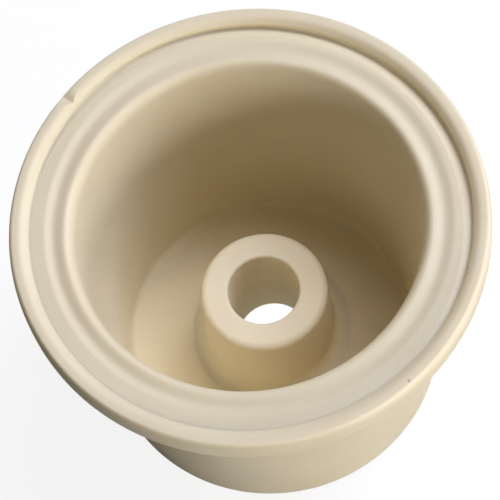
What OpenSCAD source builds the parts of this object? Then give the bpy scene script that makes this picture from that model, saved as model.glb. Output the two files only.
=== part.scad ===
// Flanged filter funnel body that comes apart: a tapered outer shell with a raised rim,
// a beaded inner bowl that hangs in it on a soft seal, and a central hub whose straight
// bore goes right through.  A sleeve screws up into the hub from below and clamps the stack.
// All sizes are millimetres.  The origin is on the table at the middle of the foot, +Z is up.

/* [Shell] */
// Height from the table to the crest of the raised lip
cup_h = 84; // [74:1:110]
// Outer radius of the cup wall at the table
foot_r = 48.2; // [44:0.2:56]
// Outer radius of the cup wall just under the rim
neck_r = 53.2; // [50:0.2:62]
// Thickness of the shell wall
shell_wall = 3.6; // [2.4:0.1:5]
// Thickness of the shell floor
shell_floor = 2; // [1.6:0.1:4]
// Width of the ring that the shell stands on
foot_w = 5; // [3.6:0.1:8]

/* [Rim] */
// How far the widest line of the rim stands out from the neck
rim_reach = 9.3; // [8.4:0.1:14]
// Width of the raised lip, from its widest line in to the seam
lip_w = 5.2; // [4.4:0.1:6.4]
// Height of the lip from its underside to its crest
lip_h = 7.8; // [6.8:0.1:12]
// Width of the rounding outside the crest
crest_w = 1.3; // [0.8:0.1:2]
// Height of the rounding outside the crest
crest_h = 3; // [1.5:0.1:3.4]
// Depth of the ledge for the rim seal, below the crest
ledge_drop = 5.6; // [5.2:0.1:6.2]
// Width of the cove that blends the foot of the lip into the groove
cove_w = 0.6; // [0.3:0.1:1.2]
// Height of that cove
cove_h = 1.2; // [0.8:0.1:1.6]
// Width of the locating notch in the crest
notch_w = 7; // [3:0.1:10]
// Depth of the locating notch below the crest
notch_depth = 1.1; // [0.6:0.1:1.8]
// Direction of the locating notch, in degrees from +X
notch_turn = 132; // [0:1:359]

/* [Bowl] */
// Thickness of the bowl wall
bowl_wall = 3.4; // [2.4:0.1:4.4]
// Thickness of the bowl floor
bowl_floor = 2; // [1.6:0.1:4]
// Radius of the fillet between the bowl's wall and its floor, inside
bowl_fillet = 2; // [1:0.1:6]
// How far the crest of the bowl's rim lies below the crest of the lip
bead_drop = 1.9; // [1:0.1:2.2]
// Width of the bead's roll towards the mouth
bead_w = 2; // [1:0.1:2.6]
// Height of the bead's roll towards the mouth
bead_h = 2.6; // [1.6:0.1:4]
// Depth of the shallow valley between the bead and the ridge outside it
valley_depth = 0.8; // [0.3:0.1:1.3]
// Width of the slope that runs from the ridge out to the edge of the bowl's rim
slope_w = 3.4; // [2.4:0.1:4.2]
// How far that edge lies below the ridge: the depth of the groove
groove_depth = 0.6; // [0.3:0.1:1.2]

/* [Hub] */
// Radius of the bore through the hub
bore_r = 10; // [8:0.1:12]
// Thickness of the hub around the bore, at the top
hub_wall = 7.8; // [6.8:0.1:10]
// Extra radius that the hub's draft gives it at the base
hub_draft = 0.8; // [0:0.1:3]
// Height of the hub above the bowl floor
hub_h = 28.2; // [20:0.2:50]
// Radius that rounds the outer top edge of the hub
hub_round = 2.2; // [0.5:0.1:3]
// Radius that rounds the mouth of the bore
bore_round = 0.8; // [0.3:0.1:2]
// Radius of the fillet that spreads the hub's base over the bowl floor
base_fillet = 4.4; // [2:0.1:6]
// Thickness of the thin edge that the fillet ends in
base_edge_t = 0.5; // [0.4:0.1:1]
// Thickness of the threaded spigot under the hub
spigot_wall = 2.3; // [1.6:0.1:3]

/* [Sleeve] */
// Thickness of the sleeve that screws up into the hub
sleeve_wall = 1.7; // [1.2:0.1:2.4]
// How much larger the sleeve's bore is than the hub's, as a radius
sleeve_ease = 0.3; // [0:0.1:0.8]
// How far the sleeve reaches above the bowl floor
sleeve_reach = 10.6; // [6:0.1:14]
// Thickness of the sleeve's clamping flange
flange_t = 1.6; // [1.2:0.1:3]
// How far the clamping flange reaches past the hole in the floor
flange_w = 4.1; // [3:0.1:8]
// Number of spanner slots in the edge of the flange
slot_count = 4; // [2:1:8]
// Width of a spanner slot
slot_w = 3; // [2:0.1:4]
// Depth of a spanner slot, inwards from the edge
slot_depth = 1.8; // [1:0.1:2.4]
// Air between the clamping flange and the table
table_gap = 0.4; // [0.3:0.1:2]

/* [Seals] */
// Thickness of the seal on the shell's ledge
rim_seal_t = 1.2; // [0.8:0.1:1.6]
// Thickness of the seal under the hub
hub_seal_t = 0.8; // [0.6:0.1:2]
// Thickness of the seal between the two floors
floor_seal_t = 0.6; // [0.5:0.1:2]
// Width of the seal between the two floors
floor_seal_w = 6; // [3:0.1:12]
// Thickness of the washer over the clamping flange
washer_t = 0.8; // [0.5:0.1:2]
// Width of the hub's base outside the recess for its seal, not counting the fillet
skirt_w = 1.2; // [0.8:0.1:1.6]

/* [Clearances] */
// Radial gap between the shell and the bowl that nests in it
nest_gap = 0.5; // [0.3:0.1:1]
// Radial gap beside a seal
seal_gap = 0.3; // [0.2:0.05:0.5]
// Radial gap between the spigot and the holes it drops through
spigot_gap = 0.3; // [0.2:0.05:0.6]
// Radial gap between the sleeve and the spigot it screws into
thread_gap = 0.3; // [0.2:0.05:0.5]
// Radial gap of the seam between the bowl's rim and the cove of the lip
seam_gap = 0.3; // [0.2:0.05:0.6]
// Gap above an end that must not bottom out
end_gap = 0.3; // [0.2:0.05:0.6]

/* [Hidden] */
$fn = 96;
// Straight steps in each rounded corner, across a slope, and in the wave across the bowl's rim
arc_steps = 6;
slope_steps = 8;
wave_steps = 14;
// Small radius that breaks a moulded edge
edge_r = 0.4;
// Radii of the larger moulded fillets
foot_round = 1.2;
neck_fillet = 2;
lip_under_round = 1.6;
shell_fillet = 2.4;
// Overlap that lets a cut pass cleanly through a face
cut_over = 1;

// Heights, from the table up
washer_z = table_gap + flange_t;
shell_floor_z = washer_z + washer_t;
floor_seal_z = shell_floor_z + shell_floor;
bowl_floor_z = floor_seal_z + floor_seal_t;
floor_z = bowl_floor_z + bowl_floor;
neck_z = cup_h - lip_h;
ledge_z = cup_h - ledge_drop;
flange_z = ledge_z + rim_seal_t;
bead_z = cup_h - bead_drop;
bead_low_z = bead_z - bead_h;
groove_z = bead_z - groove_depth;
cove_z = groove_z + cove_h;
base_top_z = floor_z + base_edge_t + base_fillet;
hub_top_z = floor_z + hub_h;
sleeve_top_z = floor_z + sleeve_reach;

// Radii of the cup walls at a height: each wall nests in the one outside it
function shell_out(z) = foot_r + (neck_r - foot_r) * z / neck_z;
function shell_in(z) = shell_out(z) - shell_wall;
function bowl_out(z) = shell_in(z) - nest_gap;
function bowl_in(z) = bowl_out(z) - bowl_wall;

// Radii of the rim, from outside in
rim_r = neck_r + rim_reach;
crest_r = rim_r - crest_w;
seat_r = rim_r - lip_w;
lip_in_r = seat_r + cove_w;
bowl_rim_r = seat_r - seam_gap;
ridge_r = bowl_rim_r - slope_w;
mouth_r = bowl_in(bead_low_z);
bead_r = mouth_r + bead_w;
rim_seal_in_r = bowl_out(ledge_z) + 2 * seal_gap + edge_r;
rim_seal_out_r = seat_r - seal_gap;

// Radii of the hub and what passes through it, from inside out
sleeve_bore_r = bore_r + sleeve_ease;
sleeve_r = sleeve_bore_r + sleeve_wall;
thread_r = sleeve_r + thread_gap;
spigot_r = thread_r + spigot_wall;
hole_r = spigot_r + spigot_gap;
hub_top_r = bore_r + hub_wall;
hub_base_r = hub_top_r + hub_draft;
base_edge_r = hub_base_r + base_fillet;
skirt_in_r = hub_base_r - skirt_w;
clamp_r = hole_r + flange_w;

// One rounded corner of an outline: b is the corner, a and c are its neighbours
function unit(v) = v / norm(v);
function corner(a, b, c, r) =
    r <= 0 ? [b] :
    let (u = unit(a - b), w = unit(c - b))
    let (half = acos(max(-1, min(1, u * w))) / 2)
    let (reach = min(r / tan(half), norm(a - b) * 0.48, norm(c - b) * 0.48))
    let (round_r = reach * tan(half))
    let (mid = b + unit(u + w) * round_r / sin(half))
    let (from = b + u * reach - mid, to = b + w * reach - mid)
    let (start = atan2(from[1], from[0]))
    let (side = from[0] * to[1] - from[1] * to[0] > 0 ? 1 : -1)
    let (turn = side * (180 - 2 * half))
    [for (i = [0:arc_steps])
        let (t = start + turn * i / arc_steps)
        mid + round_r * [cos(t), sin(t)]];

// An outline from points [radius, height, corner radius]
function rounded(p) =
    let (n = len(p))
    [for (i = [0:n - 1])
        let (a = p[(i + n - 1) % n], b = p[i], c = p[(i + 1) % n])
        each corner([a[0], a[1]], [b[0], b[1]], [c[0], c[1]], b[2])];

// Part of an ellipse about a middle, from one angle to another, as points of an outline
function curve(mid, w, h, from, to) =
    [for (i = [0:arc_steps])
        let (t = from + (to - from) * i / arc_steps)
        [mid[0] + w * cos(t), mid[1] + h * sin(t), 0]];

// A curve that starts where the one before it ended, without that shared point
function onward(p) = [for (i = [1:len(p) - 1]) p[i]];

// A flat ring that breaks its edges, standing on the height z
module ring(r_in, r_out, z, t, edge = 0) {
    rotate_extrude()
        polygon(rounded([[r_in, z, edge], [r_out, z, edge], [r_out, z + t, edge], [r_in, z + t, edge]]));
}

// Outer shell: foot, tapered wall, rim flange with its ledge, and the raised lip, which is
// highest near its outside and falls softly into the groove
module outer_shell() {
    outline = concat(
        [
            [hole_r, shell_floor_z, 0],
            [foot_r - foot_w, shell_floor_z, foot_round],
            [foot_r - foot_w, 0, edge_r],
            [foot_r, 0, foot_round],
            [neck_r, neck_z, neck_fillet],
            [rim_r, neck_z, lip_under_round]
        ],
        curve([crest_r, cup_h - crest_h], crest_w, crest_h, 0, 90),
        onward(curve([crest_r, cove_z], crest_r - lip_in_r, cup_h - cove_z, 90, 180)),
        onward(curve([seat_r, cove_z], cove_w, cove_h, 0, -90)),
        [
            [seat_r, ledge_z, 0],
            [shell_in(ledge_z), ledge_z, edge_r],
            [shell_in(floor_seal_z), floor_seal_z, shell_fillet],
            [hole_r, floor_seal_z, 0]
        ]
    );
    color([0.88, 0.84, 0.76])
    difference() {
        rotate_extrude() polygon(rounded(outline));
        rotate([0, 0, notch_turn]) locating_notch();
    }
}

// Shallow V cut level across the lip's crest, so it runs out where the lip has fallen below it
module locating_notch() {
    flank = notch_w / 2 * (1 + cut_over / notch_depth);
    translate([rim_r - lip_w / 2, 0, cup_h])
        rotate([90, 0, 90])
        linear_extrude(height = lip_w + 2 * cut_over, center = true)
        polygon([[0, -notch_depth], [flank, cut_over], [-flank, cut_over]]);
}

// Inner bowl: tapered wall and flat floor, hung from a rim that waves from the groove
// up over a ridge, through a valley and over the bead into the mouth
module inner_bowl() {
    slope = [for (i = [0:slope_steps - 1])
        let (s = i / slope_steps)
        [bowl_rim_r - slope_w * s, bead_z - groove_depth * (1 + cos(180 * s)) / 2, 0]];
    wave = [for (i = [0:wave_steps - 1])
        let (s = i / wave_steps)
        [ridge_r + (bead_r - ridge_r) * s, bead_z - valley_depth * (1 - cos(360 * s)) / 2, 0]];
    outline = concat(
        [
            [hole_r, bowl_floor_z, 0],
            [bowl_out(bowl_floor_z), bowl_floor_z, shell_fillet + nest_gap],
            [bowl_out(flange_z), flange_z, edge_r],
            [bowl_rim_r, flange_z, edge_r]
        ],
        slope,
        wave,
        curve([bead_r, bead_low_z], bead_w, bead_h, 90, 180),
        [
            [bowl_in(floor_z), floor_z, bowl_fillet],
            [hole_r, floor_z, 0]
        ]
    );
    color([0.90, 0.86, 0.78])
    rotate_extrude() polygon(rounded(outline));
}

// Soft seal on the shell's ledge, which the bowl's rim rests on
module rim_seal() {
    color([0.80, 0.72, 0.58])
    ring(rim_seal_in_r, rim_seal_out_r, ledge_z, rim_seal_t);
}

// Hub: thick collar with a rounded top and a wide filleted base, a recess under it for its seal,
// and a threaded spigot below
module stem_hub() {
    outline = concat(
        [
            [thread_r, shell_floor_z + end_gap, edge_r],
            [spigot_r, shell_floor_z + end_gap, edge_r],
            [spigot_r, floor_z + hub_seal_t, 0],
            [skirt_in_r, floor_z + hub_seal_t, 0],
            [skirt_in_r, floor_z, 0],
            [base_edge_r, floor_z, 0]
        ],
        curve([base_edge_r, base_top_z], base_fillet, base_fillet, -90, -180),
        [
            [hub_top_r, hub_top_z, hub_round],
            [bore_r, hub_top_z, bore_round],
            [bore_r, sleeve_top_z + end_gap, 0],
            [thread_r, sleeve_top_z + end_gap, 0]
        ]
    );
    color([0.89, 0.84, 0.75])
    rotate_extrude() polygon(rounded(outline));
}

// Soft seal in the recess under the hub
module hub_seal() {
    color([0.78, 0.70, 0.56])
    ring(hole_r, skirt_in_r - seal_gap, floor_z, hub_seal_t);
}

// Soft seal around the hole, between the bowl's floor and the shell's
module floor_seal() {
    color([0.78, 0.70, 0.56])
    ring(hole_r, hole_r + floor_seal_w, floor_seal_z, floor_seal_t);
}

// Clamp sleeve: a threaded tube with a flange that draws the hub down from below
module clamp_sleeve() {
    outline = [
        [sleeve_bore_r, table_gap, edge_r],
        [clamp_r, table_gap, edge_r],
        [clamp_r, washer_z, 0],
        [sleeve_r, washer_z, 0],
        [sleeve_r, sleeve_top_z, edge_r],
        [sleeve_bore_r, sleeve_top_z, 0]
    ];
    color([0.86, 0.81, 0.70])
    difference() {
        rotate_extrude() polygon(rounded(outline));
        for (i = [0:slot_count - 1])
            rotate([0, 0, i * 360 / slot_count])
            translate([clamp_r - slot_depth, -slot_w / 2, table_gap - cut_over])
            cube([slot_depth + cut_over, slot_w, flange_t + 2 * cut_over]);
    }
}

// Washer that lets the sleeve's flange turn under the shell's floor
module thrust_washer() {
    color([0.93, 0.92, 0.88])
    ring(sleeve_r + thread_gap, clamp_r, washer_z, washer_t);
}

outer_shell();
inner_bowl();
rim_seal();
stem_hub();
hub_seal();
floor_seal();
clamp_sleeve();
thrust_washer();
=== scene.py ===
# %% [markdown]
# # A filter funnel body in ivory plastic
#
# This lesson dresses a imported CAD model: a funnel body for vacuum filtration that comes apart into
# a tapered outer shell, an inner bowl, a central hub and the sleeve that clamps them.
# The CAD nodes say where everything is and how it moves.  Blender adds what the eye looks for:
# soft moulded rounds, a working thread, and a plastic that is not quite one colour.

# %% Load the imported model
import math
import bpy
from mathutils import Matrix, Vector


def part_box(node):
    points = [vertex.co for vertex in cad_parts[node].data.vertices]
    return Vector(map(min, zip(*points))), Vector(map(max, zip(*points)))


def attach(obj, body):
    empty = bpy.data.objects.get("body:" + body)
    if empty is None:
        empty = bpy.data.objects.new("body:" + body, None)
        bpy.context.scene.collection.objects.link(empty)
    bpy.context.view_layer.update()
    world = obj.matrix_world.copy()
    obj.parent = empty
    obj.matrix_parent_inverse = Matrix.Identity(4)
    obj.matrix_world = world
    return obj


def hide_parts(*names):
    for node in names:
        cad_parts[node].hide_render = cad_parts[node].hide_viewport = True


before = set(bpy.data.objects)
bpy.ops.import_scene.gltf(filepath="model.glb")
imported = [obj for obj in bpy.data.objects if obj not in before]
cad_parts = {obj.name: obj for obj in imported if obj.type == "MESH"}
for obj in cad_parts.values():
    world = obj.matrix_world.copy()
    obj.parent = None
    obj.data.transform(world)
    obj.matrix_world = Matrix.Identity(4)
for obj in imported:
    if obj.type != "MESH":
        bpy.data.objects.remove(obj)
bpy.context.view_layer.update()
print("nodes:", sorted(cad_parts))

# %% [markdown]
# ## Sizes
#
# A moulded part is described by a few driving sizes.  The outer ones are read from the CAD nodes,
# so a piece made here lies exactly where its node does.  Typing them all again would be a second
# copy to keep in step, so only the walls, rounds and clearances that a box can't tell are named.

# %% Sizes read from the frame
MM = 0.001


def node_reach(node):
    """Radius, lowest and highest level of a round CAD node, in metres."""
    low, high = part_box(node)
    return high.x, low.z, high.z


rim_r, table_z, crest_z = node_reach("outer_shell")
bowl_rim_r, bowl_base_z, bead_z = node_reach("inner_bowl")
hub_edge_r, spigot_z, hub_top_z = node_reach("stem_hub")
clamp_r, clamp_z, sleeve_top_z = node_reach("clamp_sleeve")
ledge_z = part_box("rim_seal")[0].z
bowl_flange_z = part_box("rim_seal")[1].z
shell_floor_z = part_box("floor_seal")[0].z
washer_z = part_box("thrust_washer")[0].z
recess_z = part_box("thrust_washer")[1].z
hub_seal_top_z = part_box("hub_seal")[1].z
floor_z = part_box("hub_seal")[0].z
print("rim radius %.1f mm, crest %.1f mm, bowl floor %.1f mm" % (rim_r / MM, crest_z / MM, floor_z / MM))

# %% Walls, rounds and clearances
foot_r = 48.2 * MM
foot_w = 5.0 * MM
neck_r = rim_r - 9.3 * MM
neck_z = crest_z - 7.8 * MM
shell_wall = 3.6 * MM
nest_gap = 0.5 * MM
bowl_wall = 3.8 * MM
crest_w = 1.3 * MM
crest_h = 3.0 * MM
bead_w = 2.3 * MM
bead_h = 4.2 * MM
valley_depth = 0.6 * MM
slope_w = 3.5 * MM
seam_drop = 1.95 * MM
seam = 0.004 * MM
bore_r = 10.0 * MM
sleeve_bore_r = 10.3 * MM
sleeve_r = 12.0 * MM
thread_r = 12.3 * MM
spigot_r = 14.6 * MM
hole_r = 14.9 * MM
hub_top_r = 17.8 * MM
hub_side_r = 18.6 * MM
skirt_in_r = 17.4 * MM
edge_r = 0.4 * MM
bowl_low_bead_z = bead_z - bead_h
seam_z = crest_z - seam_drop
crest_r = rim_r - crest_w
seat_r = bowl_rim_r + seam


def shell_out(z):
    """Outer radius of the tapered shell at a level."""
    return foot_r + (neck_r - foot_r) * z / neck_z


def bowl_in(z):
    """Inner radius of the bowl at a level: it nests in the shell, wall inside wall."""
    return shell_out(z) - shell_wall - nest_gap - bowl_wall


print("mouth radius %.1f mm" % (bowl_in(bowl_low_bead_z) / MM))

# %% [markdown]
# ## Drawing an outline
#
# Every large piece here is round, so half of its section says it all.  A designer draws that section
# with straight strokes and then asks for a radius at each corner.  The function below does the same:
# it takes corners as (radius, level, round) and puts an arc in each, so the rounds stay true circles
# at any size.  Bevelling the finished mesh would do it too, but a bevel needs room on both sides and
# gives every edge the same width.

# %% Outline helper
ARC_STEPS = 9
ARC_SHARE = 0.48            # the most of a side that one arc may take up


def arc(corner_before, corner, corner_after, radius, steps=ARC_STEPS):
    """Points that round one corner of an outline with a true arc."""
    b = Vector(corner)
    to_a, to_c = Vector(corner_before) - b, Vector(corner_after) - b
    if radius <= 0:
        return [b]
    u, w = to_a.normalized(), to_c.normalized()
    half = u.angle(w) / 2
    reach = min(radius / math.tan(half), to_a.length * ARC_SHARE, to_c.length * ARC_SHARE)
    radius = reach * math.tan(half)
    middle = b + (u + w).normalized() * radius / math.sin(half)
    start, end = b + u * reach - middle, b + w * reach - middle
    side = 1 if start.x * end.y - start.y * end.x > 0 else -1
    first, turn = math.atan2(start.y, start.x), side * (math.pi - 2 * half)
    return [middle + radius * Vector((math.cos(first + turn * i / steps), math.sin(first + turn * i / steps)))
            for i in range(steps + 1)]


def curve(middle, width, height, start, end, steps=ARC_STEPS):
    """Corners along part of an ellipse, from one angle to another, in degrees."""
    angles = [math.radians(start + (end - start) * i / steps) for i in range(steps + 1)]
    return [(middle[0] + width * math.cos(t), middle[1] + height * math.sin(t), 0) for t in angles]


def rounded(corners):
    """A closed outline, as (radius, level) points, from corners given as (radius, level, round)."""
    points = []
    for i, (r, z, radius) in enumerate(corners):
        before, after = corners[i - 1], corners[(i + 1) % len(corners)]
        points += arc(before[:2], (r, z), after[:2], radius)
    return points


print("each corner is rounded in %d steps" % ARC_STEPS)

# %% [markdown]
# ## The pen
#
# An outline becomes a mesh by hand in the same way each time.  A plane is merged to one point, and that
# point is the pen: it is moved to the first corner and extruded along the rest.  The last stroke ends
# where the first began, so the two ends are merged.

# %% Pen helper
MERGE_GAP = 1e-7


def start_piece(name):
    """Names the object that an operator has just made, and gives it back."""
    piece = bpy.context.object
    piece.name = name
    piece.data.name = name
    return piece


def draw_line(name, points):
    """Draws a closed line through points in space, and stays in edit mode with all of it selected."""
    bpy.ops.object.select_all(action="DESELECT")
    bpy.ops.mesh.primitive_plane_add(size=MM, location=(0, 0, 0))
    piece = start_piece(name)
    bpy.ops.object.mode_set(mode="EDIT")
    bpy.ops.mesh.select_all(action="SELECT")
    bpy.ops.mesh.merge(type="CENTER")
    bpy.ops.transform.translate(value=points[0])
    for here, there in zip(points, points[1:] + points[:1]):
        bpy.ops.mesh.extrude_region_move(TRANSFORM_OT_translate={"value": there - here})
    bpy.ops.mesh.select_all(action="SELECT")
    bpy.ops.mesh.remove_doubles(threshold=MERGE_GAP)
    return piece


def close_mesh():
    """Merges what lies on the same place, turns all faces outwards and leaves edit mode."""
    bpy.ops.mesh.select_all(action="SELECT")
    bpy.ops.mesh.remove_doubles(threshold=MERGE_GAP)
    bpy.ops.mesh.normals_make_consistent(inside=False)
    bpy.ops.object.mode_set(mode="OBJECT")


print("pen merges points within %.4f mm" % (MERGE_GAP / MM))

# %% [markdown]
# ## Turning an outline into a piece
#
# A potter would throw these shapes, and a mould maker would turn them on a lathe.  In Blender the
# lathe is Spin: the line is drawn in the plane of X and Z and spun a full turn.  A Screw modifier gives
# the same surface, but spinning in edit mode leaves plain geometry that can be cut and smoothed
# straight away.

# %% Lathe helper
SIDES = 224
SMOOTH_ANGLE = math.radians(32)


def turn(name, outline, sides=SIDES):
    """Spins a closed outline about the Z axis into a closed solid."""
    piece = draw_line(name, [Vector((p.x, 0, p.y)) for p in outline])
    bpy.ops.mesh.spin(steps=sides, angle=math.tau, center=(0, 0, 0), axis=(0, 0, 1))
    close_mesh()
    bpy.ops.object.shade_smooth_by_angle(angle=SMOOTH_ANGLE)
    print("%s: %d outline points, %d faces" % (name, len(outline), len(piece.data.polygons)))
    return piece


def apply_modifier(piece, modifier):
    """Applies one modifier of the piece, as its button in the panel does."""
    bpy.ops.object.select_all(action="DESELECT")
    piece.select_set(True)
    bpy.context.view_layer.objects.active = piece
    bpy.ops.object.modifier_apply(modifier=modifier.name)


# %% [markdown]
# ## The outer shell
#
# The shell stands on a foot ring, tapers outwards so that it leaves its mould, and turns out into a
# flange with a thick round lip.  A ledge inside the lip carries a soft seal.  All of that is one
# outline, walked from the hole in the floor, out over the foot, up the wall, over the lip and back.
# The lip is a quarter ellipse outside.  Inside it falls along half a cosine wave, which is stretched
# near the crest and level at its foot, because the real lip shows no kink there.

# %% Outer shell
FALL_STEPS = 24
FALL_BEND = 2.2             # the higher, the longer the crest stays level before it falls
foot_round = 1.2 * MM
neck_round = 2.0 * MM
flange_round = 1.6 * MM
shell_floor_round = 2.4 * MM


def lip_fall():
    """Corners of the lip's inner side: level at the crest, steep near the seam, level again at its foot."""
    shares = [i / FALL_STEPS for i in range(1, FALL_STEPS + 1)]
    return [(crest_r + (seat_r - crest_r) * s,
             seam_z + (crest_z - seam_z) * (1 + math.cos(math.pi * s ** FALL_BEND)) / 2, 0) for s in shares]


shell = turn("shell_body", rounded([
    (hole_r, recess_z, edge_r),
    (foot_r - foot_w, recess_z, foot_round),
    (foot_r - foot_w, table_z, edge_r),
    (foot_r, table_z, foot_round),
    (neck_r, neck_z, neck_round),
    (rim_r, neck_z, flange_round),
    *curve((crest_r, crest_z - crest_h), crest_w, crest_h, 0, 90, steps=12),
    *lip_fall(),
    (seat_r, ledge_z, edge_r),
    (shell_out(ledge_z) - shell_wall, ledge_z, edge_r),
    (shell_out(shell_floor_z) - shell_wall, shell_floor_z, shell_floor_round),
    (hole_r, shell_floor_z, edge_r),
]))

# %% [markdown]
# ### The locating notch
#
# A small dip in the crest shows which way round the funnel was put together.  Its floor is a sharp
# line and its flanks ease out into the lip, so no ready primitive has the shape.  The cutter's end is
# drawn point by point and extruded along the radius, then the Boolean modifier takes it away.  The
# cutter dips outwards, so the notch is deep at the outside and runs out before the lip's inner side.

# %% Locating notch
NOTCH_TURN = math.radians(131.5)
NOTCH_STEPS = 10
NOTCH_EASE = 1.5            # power that bends the flanks: 1 is a plain V
NOTCH_DIP = math.radians(8)
notch_w = 10 * MM
notch_depth = 1.3 * MM
notch_l = 8 * MM            # length of the cutter, along the radius
notch_in = 1.6 * MM         # its middle, in from the rim
notch_up = 0.3 * MM         # and up from the crest
notch_roof_h = 2 * MM


def bar(name, outline, length):
    """Extrudes a closed outline of (across, up) points into a bar along X."""
    piece = draw_line(name, [Vector((-length / 2, p.x, p.y)) for p in outline])
    bpy.ops.mesh.edge_face_add()
    bpy.ops.mesh.extrude_region_move(TRANSFORM_OT_translate={"value": (length, 0, 0)})
    close_mesh()
    return piece


def cut(piece, cutter):
    """Takes the cutter's shape out of the piece, throws the cutter away and smooths the new edges."""
    boolean = piece.modifiers.new("cut", "BOOLEAN")
    boolean.operation = "DIFFERENCE"
    boolean.solver = "EXACT"
    boolean.object = cutter
    apply_modifier(piece, boolean)
    bpy.data.objects.remove(cutter, do_unlink=True)
    bpy.ops.object.shade_smooth_by_angle(angle=SMOOTH_ANGLE)


flank_shares = [i / NOTCH_STEPS for i in range(-NOTCH_STEPS, NOTCH_STEPS + 1)]
notch_floor = [Vector((notch_w / 2 * s, -notch_depth * (1 - abs(s)) ** NOTCH_EASE)) for s in flank_shares]
notch_roof = [Vector((notch_w / 2, notch_roof_h)), Vector((-notch_w / 2, notch_roof_h))]
notch_cutter = bar("notch_cutter", notch_floor + notch_roof, notch_l)
notch_r = rim_r - notch_in
notch_cutter.location = (notch_r * math.cos(NOTCH_TURN), notch_r * math.sin(NOTCH_TURN), crest_z + notch_up)
notch_cutter.rotation_euler = (0, NOTCH_DIP, NOTCH_TURN)
cut(shell, notch_cutter)
print("notch cut at %.1f degrees" % math.degrees(NOTCH_TURN))

# %% [markdown]
# ## The inner bowl
#
# The bowl hangs in the shell by its rim.  The rim isn't flat: a bead rolls into the mouth, a shallow
# valley runs round it, and a low ridge slopes down to the seam.  Between bead and ridge the surface
# is one cosine wave, which has no kink at either end, as the real moulding has none.

# %% Inner bowl
WAVE_STEPS = 26
SLOPE_STEPS = 14
bowl_base_round = 2.9 * MM
bowl_floor_round = 2.0 * MM
ridge_r = bowl_rim_r - slope_w
bead_r = bowl_in(bowl_low_bead_z) + bead_w


def rim_slope():
    """Corners of the gentle slope that runs from the seam up to the ridge."""
    shares = [i / SLOPE_STEPS for i in range(1, SLOPE_STEPS)]
    return [(bowl_rim_r - slope_w * s, bead_z - (bead_z - seam_z) * (1 + math.cos(math.pi * s)) / 2, 0)
            for s in shares]


def rim_wave():
    """Corners of the wave that runs from the ridge down into the valley and up to the bead."""
    shares = [i / WAVE_STEPS for i in range(WAVE_STEPS)]
    return [(ridge_r + (bead_r - ridge_r) * s, bead_z - valley_depth * (1 - math.cos(math.tau * s)) / 2, 0)
            for s in shares]


bowl_out_base = shell_out(bowl_base_z) - shell_wall - nest_gap
bowl_out_flange = shell_out(bowl_flange_z) - shell_wall - nest_gap
bowl = turn("bowl_body", rounded([
    (hole_r, bowl_base_z, edge_r),
    (bowl_out_base, bowl_base_z, bowl_base_round),
    (bowl_out_flange, bowl_flange_z, edge_r),
    (bowl_rim_r, bowl_flange_z, edge_r),
    (bowl_rim_r, seam_z, 0),
    *rim_slope(),
    *rim_wave(),
    *curve((bead_r, bowl_low_bead_z), bead_w, bead_h, 90, 180),
    (bowl_in(floor_z), floor_z, bowl_floor_round),
    (hole_r, floor_z, edge_r),
]))

# %% [markdown]
# ### The groove at the seam
#
# Where lip and bowl meet there is a groove that is deep on one side and runs out on the other, as if
# the tool that made it had leaned a little.  A groove in the outlines would have the same depth all
# round.  So a ring is turned whose section is steep on the lip's side and easy on the bowl's, then it
# is leaned over and cut out of both pieces, as a leaning tool would do it.

# %% Groove
GROOVE_TURN = math.radians(50)
GROOVE_STEPS = 14
groove_r = 57.15 * MM
groove_depth = 1.4 * MM
groove_lean = 1.15 * MM
groove_top = 5 * MM
outer_w, outer_h = 0.65 * MM, 1.0 * MM
inner_w, inner_h = 3.8 * MM, 1.5 * MM

inner_shares = [i / GROOVE_STEPS for i in range(1, GROOVE_STEPS + 1)]
inner_side = [(groove_r - inner_w * s, inner_h * (1 - math.cos(math.pi * s)) / 2, 0) for s in inner_shares]
outer_side = curve((groove_r, outer_h), outer_w, outer_h, -90, 0, steps=10)
groove_roof = [(groove_r + outer_w, groove_top, 0), (groove_r - inner_w, groove_top, 0)]
groove_ring = rounded(outer_side + groove_roof + inner_side[::-1])
lean_axis = Vector((-math.sin(GROOVE_TURN), math.cos(GROOVE_TURN), 0))
for piece in (shell, bowl):
    groove_cutter = turn("groove_cutter", groove_ring)
    groove_cutter.location = (0, 0, seam_z - groove_depth + groove_lean)
    groove_cutter.rotation_euler = Matrix.Rotation(groove_lean / groove_r, 3, lean_axis).to_euler()
    cut(piece, groove_cutter)
print("groove is %.1f mm deep on one side" % (groove_depth / MM))

# %% [markdown]
# ## The hub
#
# The hub is a thick collar with a plain bore.  A stem or a stopper goes in from the top, so both
# edges of its mouth are well rounded.  Below the collar a skirt hides a seal, and a spigot drops
# through both floors.  The bore widens there for the sleeve that screws in from below.

# %% Hub
base_fillet = hub_edge_r - hub_side_r
base_edge_t = 0.15 * MM
hub_top_round = 2.2 * MM
bore_round = 0.8 * MM
sleeve_play = 0.3 * MM      # between the sleeve's end and the step that it meets
hub = turn("hub_body", rounded([
    (thread_r, spigot_z, edge_r),
    (spigot_r, spigot_z, edge_r),
    (spigot_r, hub_seal_top_z, 0),
    (skirt_in_r, hub_seal_top_z, 0),
    (skirt_in_r, floor_z, 0.2 * MM),
    (hub_edge_r, floor_z, 0),
    *curve((hub_edge_r, floor_z + base_edge_t + base_fillet), base_fillet, base_fillet, -90, -180, steps=14),
    (hub_top_r, hub_top_z, hub_top_round),
    (bore_r, hub_top_z, bore_round),
    (bore_r, sleeve_top_z + sleeve_play, edge_r),
    (thread_r, sleeve_top_z + sleeve_play, 0),
]))

# %% [markdown]
# ## The clamp sleeve
#
# The sleeve is a short tube with a flange, and four slots in the flange take a pin spanner.  A loop
# cuts them with blocks of one size that are set round the flange, so all four are alike.

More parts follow.
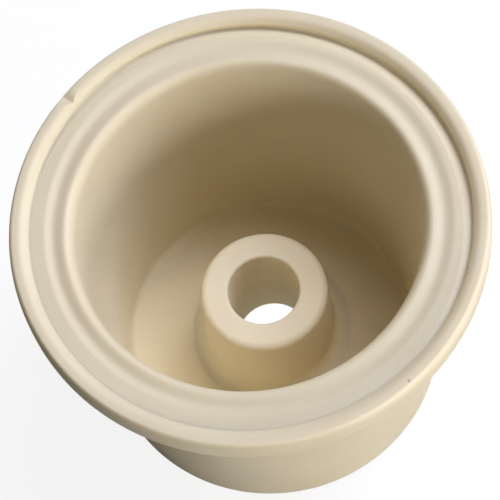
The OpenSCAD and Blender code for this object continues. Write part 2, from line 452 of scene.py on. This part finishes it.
# %% Clamp sleeve
SLOT_COUNT = 4
slot_w = 3.0 * MM
slot_depth = 1.8 * MM
slot_block_l = 10 * MM
slot_block_h = 8 * MM
sleeve = turn("sleeve_body", rounded([
    (sleeve_bore_r, clamp_z, edge_r),
    (clamp_r, clamp_z, edge_r),
    (clamp_r, washer_z, 0.2 * MM),
    (sleeve_r, washer_z, 0.2 * MM),
    (sleeve_r, sleeve_top_z, edge_r),
    (sleeve_bore_r, sleeve_top_z, 0.2 * MM),
]))
for i in range(SLOT_COUNT):
    slot_turn = math.tau * i / SLOT_COUNT
    slot_at = Vector((clamp_r - slot_depth + slot_block_l / 2, 0, clamp_z))
    slot_at.rotate(Matrix.Rotation(slot_turn, 3, "Z"))
    bpy.ops.object.select_all(action="DESELECT")
    bpy.ops.mesh.primitive_cube_add(size=1, location=slot_at, rotation=(0, 0, slot_turn),
                                    scale=(slot_block_l, slot_w, slot_block_h))
    cut(sleeve, start_piece("slot_cutter"))
print("sleeve has %d spanner slots" % SLOT_COUNT)

# %% [markdown]
# ### A working thread
#
# The sleeve screws up into the spigot under the hub.  A thread is a profile that climbs as it turns,
# so the Screw modifier is the tool for it: it turns and lifts a flat profile into a cutter.  Both
# grooves are cut to the same pitch, which is the travel per turn that the coupled joints have, and the
# crests clear each other by a hair.

# %% Thread
THREAD_PITCH = 3.0 * MM
THREAD_STEPS = 64
thread_depth = 0.7 * MM
cutter_past = 0.4 * MM      # how far the cutter stands past the crest
half_root = 0.35 * MM
half_mouth = 1.25 * MM
sleeve_run_z, sleeve_turns = recess_z + 2 * MM, 5
hub_run_z, hub_turns = spigot_z - 1 * MM, 4.75


def thread_cutter(name, crest_radius, outward, low, turns, start_turn):
    """A right-hand helical groove cutter, from its lowest level up for a number of turns.

    outward is 1 for a groove that is cut outwards from the crest radius, and -1 for one cut inwards.
    """
    root = crest_radius + outward * thread_depth
    mouth = crest_radius - outward * cutter_past
    piece = draw_line(name, [Vector((mouth, 0, low - half_mouth)), Vector((root, 0, low - half_root)),
                             Vector((root, 0, low + half_root)), Vector((mouth, 0, low + half_mouth))])
    bpy.ops.mesh.edge_face_add()
    bpy.ops.object.mode_set(mode="OBJECT")
    screw = piece.modifiers.new("climb", "SCREW")
    screw.axis = "Z"
    screw.angle = math.tau * turns
    screw.screw_offset = THREAD_PITCH * turns
    screw.steps = round(THREAD_STEPS * turns)
    screw.render_steps = screw.steps
    apply_modifier(piece, screw)
    bpy.ops.object.mode_set(mode="EDIT")
    bpy.ops.mesh.select_all(action="SELECT")
    bpy.ops.mesh.remove_doubles(threshold=MERGE_GAP)
    bpy.ops.mesh.select_all(action="DESELECT")
    bpy.ops.mesh.select_non_manifold()
    bpy.ops.mesh.fill_holes(sides=0)
    close_mesh()
    piece.rotation_euler = (0, 0, start_turn)
    return piece


cut(sleeve, thread_cutter("sleeve_groove", sleeve_r, -1, sleeve_run_z, sleeve_turns, 0))
cut(hub, thread_cutter("hub_groove", thread_r, 1, hub_run_z, hub_turns, math.pi))
print("thread: %.1f mm pitch, %.1f mm deep" % (THREAD_PITCH / MM, thread_depth / MM))

# %% [markdown]
# ### The rim seal
#
# The seal under the bowl's rim is a plain soft ring, and it is made here again because of the next
# step, which it has to follow together with the shell and the bowl.

# %% Rim seal
SEAL_SIDES = 128
seal_edge = 0.3 * MM
seal_in_r = bowl_out_flange + 1.0 * MM
seal_out_r = bowl_rim_r
seal = turn("rim_seal_ring", rounded([
    (seal_in_r, ledge_z, seal_edge),
    (seal_out_r, ledge_z, seal_edge),
    (seal_out_r, bowl_flange_z, seal_edge),
    (seal_in_r, bowl_flange_z, seal_edge),
]), SEAL_SIDES)

# %% [markdown]
# ### A rim that has gone a little oval
#
# A tall moulding is held true by its floor, but its open rim relaxes a little as it cools and ends up
# slightly oval.  Simple Deform's taper does that: it draws one direction in, by a share that grows with
# height, and a locked axis keeps the other direction as it was.  An empty gives it the direction.

# %% Oval rim
OVAL_TURN = math.radians(25)
oval_share = 0.008


def draw_in(piece, base_z, top_z):
    """Narrows a piece along the oval's direction, by a share that grows with its level."""
    taper = piece.modifiers.new("oval", "SIMPLE_DEFORM")
    taper.deform_method = "TAPER"
    taper.deform_axis = "Z"
    taper.lock_y = True
    taper.factor = -oval_share * (top_z - base_z) / crest_z
    taper.origin = oval_axes
    apply_modifier(piece, taper)


bpy.ops.object.select_all(action="DESELECT")
bpy.ops.object.empty_add(location=(0, 0, 0), rotation=(0, 0, OVAL_TURN))
oval_axes = bpy.context.object
draw_in(shell, table_z, crest_z)
draw_in(bowl, bowl_base_z, bead_z)
draw_in(seal, ledge_z, bowl_flange_z)
bpy.data.objects.remove(oval_axes, do_unlink=True)
print("rim drawn in by %.2f mm" % (oval_share * rim_r / MM))

# %% [markdown]
# ### A core that sat off centre
#
# The inside of a bowl is formed by a core, and a core never sits quite true in its mould.  So the mouth
# and the inner wall are moved a little to one side, while the rim and the outside stay where they are.
# A vertex group says how much of the move each point takes, and Displace carries it out.

# %% Core shift
CORE_TURN = math.radians(230)
core_shift = 0.55 * MM
core_blend = 3.5 * MM       # width over which the rim takes up the shift
still_r = 30 * MM           # inside this radius the floor stays where it is
core_group = bowl.vertex_groups.new(name="core")
for vertex in bowl.data.vertices:
    reach = math.hypot(vertex.co.x, vertex.co.y)
    if vertex.co.z > bowl_low_bead_z:
        share = min(1, max(0, (ridge_r - reach) / core_blend))
    else:
        share = 1 if still_r < reach < bowl_in(vertex.co.z) + bowl_wall / 2 else 0
    core_group.add([vertex.index], share, "REPLACE")
for direction, part in (("X", math.cos(CORE_TURN)), ("Y", math.sin(CORE_TURN))):
    shift = bowl.modifiers.new("core_" + direction, "DISPLACE")
    shift.direction = direction
    shift.mid_level = 0
    shift.strength = core_shift * part
    shift.vertex_group = "core"
    apply_modifier(bowl, shift)
print("core moved by %.1f mm" % (core_shift / MM))

# %% [markdown]
# ## Bodies
#
# Each new piece rides on the CAD body that it belongs to and stands for that body's node, which is
# then hidden.

# %% Ride and replace
for piece, body, node, slot in (
        (shell, "shell", "outer_shell", "shell"),
        (bowl, "bowl", "inner_bowl", "bowl"),
        (hub, "hub", "stem_hub", "hub"),
        (sleeve, "sleeve", "clamp_sleeve", "sleeve"),
        (seal, "shell", "rim_seal", "seal")):
    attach(piece, body)
    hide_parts(node)
    print(piece.name, "rides on", body)

# %% [markdown]
# ## Ivory plastic
#
# Natural polypropylene is a warm white that is never quite even: it is cloudy over a few
# centimetres, it picks up a few dark specks from the press, and its surface has a fine grain.
# The same effect serves every moulded piece, so it is one node group with its own inputs.

# %% Material helpers
def link(tree, source, target):
    """Joins one socket to another."""
    tree.links.new(source, target)


def add_noise(tree, vector, scale, detail, roughness):
    """A noise texture on the given coordinates, with its sizes on its own sockets."""
    noise = tree.nodes.new("ShaderNodeTexNoise")
    link(tree, vector, noise.inputs["Vector"])
    noise.inputs["Scale"].default_value = scale
    noise.inputs["Detail"].default_value = detail
    noise.inputs["Roughness"].default_value = roughness
    return noise.outputs["Fac"]


def add_range(tree, value, low, high, to_low=0.0, to_high=1.0):
    """A clamped Map Range, smooth at both ends."""
    ranged = tree.nodes.new("ShaderNodeMapRange")
    ranged.interpolation_type = "SMOOTHSTEP"
    link(tree, value, ranged.inputs["Value"])
    for name, number in (("From Min", low), ("From Max", high), ("To Min", to_low), ("To Max", to_high)):
        ranged.inputs[name].default_value = number
    return ranged.outputs["Result"]


def add_mix(tree, amount, first, second):
    """Mixes two colours.  Each may be a socket or a plain colour."""
    mix = tree.nodes.new("ShaderNodeMix")
    mix.data_type = "RGBA"
    link(tree, amount, mix.inputs["Factor"])
    for socket, colour in ((mix.inputs["A"], first), (mix.inputs["B"], second)):
        if isinstance(colour, tuple):
            socket.default_value = (*colour, 1)
        else:
            link(tree, colour, socket)
    return mix.outputs["Result"]


def add_math(tree, operation, first, second):
    """One Math node.  Each input may be a socket or a number."""
    node = tree.nodes.new("ShaderNodeMath")
    node.operation = operation
    for socket, value in zip(node.inputs, (first, second)):
        if isinstance(value, (int, float)):
            socket.default_value = value
        else:
            link(tree, value, socket)
    return node.outputs["Value"]


print("helpers for links, noise, ranges, mixes and sums are ready")

# %% Node group: moulded ivory
SPECK_BROWN = (0.22, 0.11, 0.05)


def make_ivory_group():
    """Cloudy colour, roughness and surface height of a moulding in natural plastic."""
    group = bpy.data.node_groups.new("moulded_ivory", "ShaderNodeTree")
    for name, kind in (("Vector", "NodeSocketVector"), ("Colour", "NodeSocketColor"),
                       ("Cloud Colour", "NodeSocketColor"), ("Cloud Amount", "NodeSocketFloat"),
                       ("Speck Amount", "NodeSocketFloat")):
        group.interface.new_socket(name=name, in_out="INPUT", socket_type=kind)
    for name, kind in (("Colour", "NodeSocketColor"), ("Roughness", "NodeSocketFloat"),
                       ("Height", "NodeSocketFloat")):
        group.interface.new_socket(name=name, in_out="OUTPUT", socket_type=kind)
    entry = group.nodes.new("NodeGroupInput")
    leave = group.nodes.new("NodeGroupOutput")
    place = entry.outputs["Vector"]

    cloud = add_range(group, add_noise(group, place, 38, 3, 0.55), 0.38, 0.72)
    clouded = add_mix(group, add_math(group, "MULTIPLY", cloud, entry.outputs["Cloud Amount"]),
                      entry.outputs["Colour"], entry.outputs["Cloud Colour"])

    cells = group.nodes.new("ShaderNodeTexVoronoi")
    link(group, place, cells.inputs["Vector"])
    cells.inputs["Scale"].default_value = 95
    dot = add_range(group, cells.outputs["Distance"], 0.016, 0.034, 1.0, 0.0)
    chosen = group.nodes.new("ShaderNodeSeparateColor")
    link(group, cells.outputs["Color"], chosen.inputs["Color"])
    few = add_math(group, "GREATER_THAN", chosen.outputs["Red"], 0.93)
    speck = add_math(group, "MULTIPLY", add_math(group, "MULTIPLY", dot, few), entry.outputs["Speck Amount"])
    link(group, add_mix(group, speck, clouded, SPECK_BROWN), leave.inputs["Colour"])

    grain = add_noise(group, place, 1500, 2, 0.6)
    swell = add_noise(group, place, 120, 2, 0.5)
    link(group, add_range(group, swell, 0.3, 0.7, 0.48, 0.60), leave.inputs["Roughness"])
    fine = add_math(group, "MULTIPLY", grain, 0.25)
    link(group, add_math(group, "ADD", fine, swell), leave.inputs["Height"])
    return group


ivory_group = make_ivory_group()
print("node group", ivory_group.name, "has", len(ivory_group.nodes), "nodes")


# %% [markdown]
# The group puts out colour, roughness and height.  The shader stays in each material, so that its
# plain numbers, such as the sheen of the plastic, sit on its own sockets.  Some light passes under the
# surface, which softens the edges as thick plastic does.  The hub and the sleeve wear a copy of the
# ivory that is painted lighter, as painted light in place of the light that glows through the thick
# hub.  The hub's base runs out to a thin edge, and there the painted lightness gives way to the
# colour of the bowl.

# %% Materials of the mouldings
IVORY = (0.785, 0.684, 0.457)
IVORY_CLOUD = (0.745, 0.630, 0.405)
# The hub's colours are painted lighter than the bowl's: painted light standing in for light that passes
# through the thick hub.
HUB_IVORY_PAINTED_LIGHTER = (0.865, 0.762, 0.530)
HUB_CLOUD_PAINTED_LIGHTER = (0.825, 0.705, 0.465)
SPECK_AMOUNT = 0.5
SPOT_BROWN = (0.38, 0.22, 0.13)
SPOT_TURN = math.radians(-60.5)


def ivory(name, colour, cloud_colour, cloud_amount=0.5, glow=0.4, spot=None, thin=None):
    """A material in moulded ivory.

    glow is its share of light that passes under the surface.  spot is the place of one larger brown
    speck.  thin gives the two radii between which an edge thins out until the bowl's colour shows.
    """
    material = bpy.data.materials.new(name)
    material.use_nodes = True
    tree = material.node_tree
    shader = tree.nodes["Principled BSDF"]
    where = tree.nodes.new("ShaderNodeTexCoord").outputs["Object"]
    finish = tree.nodes.new("ShaderNodeGroup")
    finish.node_tree = ivory_group
    link(tree, where, finish.inputs["Vector"])
    finish.inputs["Colour"].default_value = (*colour, 1)
    finish.inputs["Cloud Colour"].default_value = (*cloud_colour, 1)
    finish.inputs["Cloud Amount"].default_value = cloud_amount
    finish.inputs["Speck Amount"].default_value = SPECK_AMOUNT
    shade = finish.outputs["Colour"]
    if spot:
        away = tree.nodes.new("ShaderNodeVectorMath")
        away.operation = "DISTANCE"
        link(tree, where, away.inputs[0])
        away.inputs[1].default_value = spot
        mark = add_range(tree, away.outputs["Value"], 0.1 * MM, 0.6 * MM, 0.7, 0.0)
        shade = add_mix(tree, mark, shade, SPOT_BROWN)
    # Towards the thin edge the painted lightness fades into the bowl's colour.
    if thin:
        level = tree.nodes.new("ShaderNodeVectorMath")
        level.operation = "MULTIPLY"
        link(tree, where, level.inputs[0])
        level.inputs[1].default_value = (1, 1, 0)
        reach = tree.nodes.new("ShaderNodeVectorMath")
        reach.operation = "LENGTH"
        link(tree, level.outputs["Vector"], reach.inputs[0])
        shade = add_mix(tree, add_range(tree, reach.outputs["Value"], *thin), shade, IVORY)
    link(tree, shade, shader.inputs["Base Color"])
    link(tree, finish.outputs["Roughness"], shader.inputs["Roughness"])
    bump = tree.nodes.new("ShaderNodeBump")
    bump.inputs["Strength"].default_value = 0.12
    bump.inputs["Distance"].default_value = 0.0004
    link(tree, finish.outputs["Height"], bump.inputs["Height"])
    link(tree, bump.outputs["Normal"], shader.inputs["Normal"])
    shader.inputs["IOR"].default_value = 1.49
    shader.inputs["Specular IOR Level"].default_value = 0.35
    shader.inputs["Subsurface Weight"].default_value = glow
    shader.inputs["Subsurface Radius"].default_value = (1.0, 0.9, 0.7)
    shader.inputs["Subsurface Scale"].default_value = 3 * MM
    return material


spot_r = crest_r - 0.4 * MM
spot_at = (spot_r * math.cos(SPOT_TURN), spot_r * math.sin(SPOT_TURN), crest_z)
shell_ivory = ivory("shell_ivory", IVORY, IVORY_CLOUD, spot=spot_at)
bowl_ivory = ivory("bowl_ivory", IVORY, IVORY_CLOUD)
hub_ivory_painted_lighter = ivory("hub_ivory_painted_lighter", HUB_IVORY_PAINTED_LIGHTER, HUB_CLOUD_PAINTED_LIGHTER, glow=0.3,
                  thin=(hub_side_r + 0.2 * MM, hub_edge_r - 0.6 * MM))
sleeve_ivory_painted_lighter = ivory("sleeve_ivory_painted_lighter", HUB_IVORY_PAINTED_LIGHTER, HUB_CLOUD_PAINTED_LIGHTER, 0.7, glow=0.3)
for piece, material in ((shell, shell_ivory), (bowl, bowl_ivory), (hub, hub_ivory_painted_lighter), (sleeve, sleeve_ivory_painted_lighter)):
    piece.data.materials.clear()
    piece.data.materials.append(material)
    print(piece.name, "wears", material.name)

# %% [markdown]
# ## Rubber and washer
#
# The seals are soft tan rubber, duller than the plastic, with a fine dusty bloom.  The washer is
# cut from a pale slippery sheet.  The three nodes that are left are plain rings in the real thing too,
# so they keep their CAD shape and only get their finish.

# %% Materials of the rings
def ring_finish(name, colour, bloom, roughness, grain_scale):
    """A dull finish with a dusty bloom, for rubber and sheet."""
    material = bpy.data.materials.new(name)
    material.use_nodes = True
    tree = material.node_tree
    shader = tree.nodes["Principled BSDF"]
    where = tree.nodes.new("ShaderNodeTexCoord").outputs["Object"]
    dust = add_range(tree, add_noise(tree, where, grain_scale, 4, 0.65), 0.35, 0.7)
    link(tree, add_mix(tree, dust, colour, bloom), shader.inputs["Base Color"])
    link(tree, add_range(tree, dust, 0, 1, roughness - 0.06, roughness + 0.08), shader.inputs["Roughness"])
    bump = tree.nodes.new("ShaderNodeBump")
    bump.inputs["Strength"].default_value = 0.2
    bump.inputs["Distance"].default_value = 0.0002
    link(tree, dust, bump.inputs["Height"])
    link(tree, bump.outputs["Normal"], shader.inputs["Normal"])
    return material


seal_rubber = ring_finish("seal_rubber", (0.60, 0.50, 0.34), (0.68, 0.60, 0.45), 0.7, 420)
washer_sheet = ring_finish("washer_sheet", (0.80, 0.77, 0.70), (0.86, 0.84, 0.79), 0.45, 260)
seal.data.materials.append(seal_rubber)
for node, material in (("hub_seal", seal_rubber), ("floor_seal", seal_rubber),
                       ("thrust_washer", washer_sheet)):
    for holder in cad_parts[node].material_slots:
        holder.material = material
    print(node, "wears", material.name)

# %% [markdown]
# ## Floor and light
#
# A pale object on a pale ground needs soft light from one side.  Two large lamps to the right and a
# little behind, one higher than the other, give the hollow its shape.  A low lamp lifts the outer wall
# at the front and a weak one draws the edge at the back.  The world is nearly dark and only keeps the
# shadows from going black.  To the camera the ground and the room read as white, through Light Path,
# so no extra light is thrown at the object.  Only the paper right below the bore gives off light of
# its own, a painted glow that lights the bore's wall in place of light coming up through the hole.

# %% Floor
GROUND_SIZE = 4.0
PAPER_GREY = (0.26, 0.26, 0.25)
PAPER_SEEN = (0.15, 0.15, 0.15)
PAPER_LIGHT = 0.85
BORE_GLOW = 0.3
bpy.ops.object.select_all(action="DESELECT")
bpy.ops.mesh.primitive_plane_add(size=GROUND_SIZE, location=(0, 0, table_z))
ground = start_piece("ground")
paper = bpy.data.materials.new("white_ground")
paper.use_nodes = True
paper_tree = paper.node_tree
paper_shader = paper_tree.nodes["Principled BSDF"]
paper_shader.inputs["Roughness"].default_value = 0.9
rays = paper_tree.nodes.new("ShaderNodeLightPath")
from_axis = paper_tree.nodes.new("ShaderNodeVectorMath")
from_axis.operation = "LENGTH"
link(paper_tree, paper_tree.nodes.new("ShaderNodeTexCoord").outputs["Object"], from_axis.inputs[0])
# Below the bore the paper gives off light of its own: a painted glow on the bore's wall, in place of light
# bouncing up through the hole.
bore_painted_glow = add_range(paper_tree, from_axis.outputs["Value"], sleeve_bore_r, 1.3 * sleeve_bore_r,
                       BORE_GLOW, 0)
in_view = add_math(paper_tree, "MAXIMUM", rays.outputs["Is Camera Ray"], rays.outputs["Is Transmission Ray"])
seen = add_math(paper_tree, "MAXIMUM", bore_painted_glow, in_view)
level = add_range(paper_tree, bore_painted_glow, 0, BORE_GLOW, PAPER_LIGHT, 1.0)
link(paper_tree, add_mix(paper_tree, seen, PAPER_GREY, PAPER_SEEN), paper_shader.inputs["Base Color"])
paper_shader.inputs["Emission Color"].default_value = (1, 1, 1, 1)
link(paper_tree, add_math(paper_tree, "MULTIPLY", seen, level), paper_shader.inputs["Emission Strength"])
ground.data.materials.append(paper)
print("ground is %.0f m across" % GROUND_SIZE)

# %% World and lamps
WORLD_FILL = 0.03
world = bpy.data.worlds.new("bright_room")
bpy.context.scene.world = world
world.use_nodes = True
room = world.node_tree
background = room.nodes["Background"]
background.inputs["Color"].default_value = (1.0, 1.0, 1.0, 1)
room_rays = room.nodes.new("ShaderNodeLightPath")
room_seen = add_math(room, "MAXIMUM", room_rays.outputs["Is Camera Ray"],
                     add_math(room, "MAXIMUM", room_rays.outputs["Is Glossy Ray"],
                              room_rays.outputs["Is Transmission Ray"]))
link(room, add_range(room, room_seen, 0, 1, WORLD_FILL, 1.0), background.inputs["Strength"])


LAMP_AIM = Vector((0, 0, 60 * MM))


def place_lamp(name, turn_angle, height_angle, size, watts, colour, distance=1.1):
    """A square soft lamp that faces the aim, from a compass direction and a height, both in degrees."""
    azimuth, height = math.radians(turn_angle), math.radians(height_angle)
    away = Vector((math.cos(height) * math.cos(azimuth), math.cos(height) * math.sin(azimuth),
                   math.sin(height)))
    bpy.ops.object.select_all(action="DESELECT")
    bpy.ops.object.light_add(type="AREA", location=LAMP_AIM + away * distance)
    lamp = bpy.context.object
    lamp.name = name
    lamp.data.size = size
    lamp.data.energy = watts
    lamp.data.color = colour
    lamp.rotation_euler = (-away).to_track_quat("-Z", "Y").to_euler()
    print(name, "at", tuple(round(x, 2) for x in lamp.location))


place_lamp("key_high", 44, 66, 1.1, 18.2, (1.05, 1.0, 1.10), 2.2)
place_lamp("key_low", 20, 47, 1.2, 28.8, (0.89, 1.0, 1.34), 2.2)
place_lamp("front_fill", 302, 9, 0.42, 8.7, (1.02, 1.0, 1.05))
place_lamp("back_edge", 140, 12, 0.45, 1.1, (1.1, 1.0, 0.8))

# %% [markdown]
# ## Camera
#
# The camera looks down into the bowl from the front and is rolled a little, so the funnel seems to
# lean.  Its place is given as a photographer would: the point it aims at, how high and how far it
# stands, how much it is rolled, and its lens.

# %% Camera
camera_aim = Vector((-1.14 * MM, -9.49 * MM, crest_z))
camera_distance = 489.6 * MM
camera_height = math.radians(65.31)
camera_turn = math.radians(-0.32)
camera_roll = math.radians(-12.68)
camera_lens, camera_sensor = 139.15, 36
toward = Vector((math.sin(camera_turn) * math.cos(camera_height),
                 math.cos(camera_turn) * math.cos(camera_height), -math.sin(camera_height)))
bpy.ops.object.select_all(action="DESELECT")
bpy.ops.object.camera_add(location=camera_aim - toward * camera_distance)
camera = bpy.context.object
camera.name = "bench_camera"
camera.data.sensor_width = camera_sensor
camera.data.lens = camera_lens
look = toward.to_track_quat("-Z", "Y").to_matrix()
camera.rotation_euler = (look @ Matrix.Rotation(camera_roll, 3, "Z")).to_euler()
bpy.context.scene.camera = camera
bpy.context.scene.view_settings.view_transform = "Standard"
print("camera stands %.0f mm from its aim" % (camera_distance / MM))
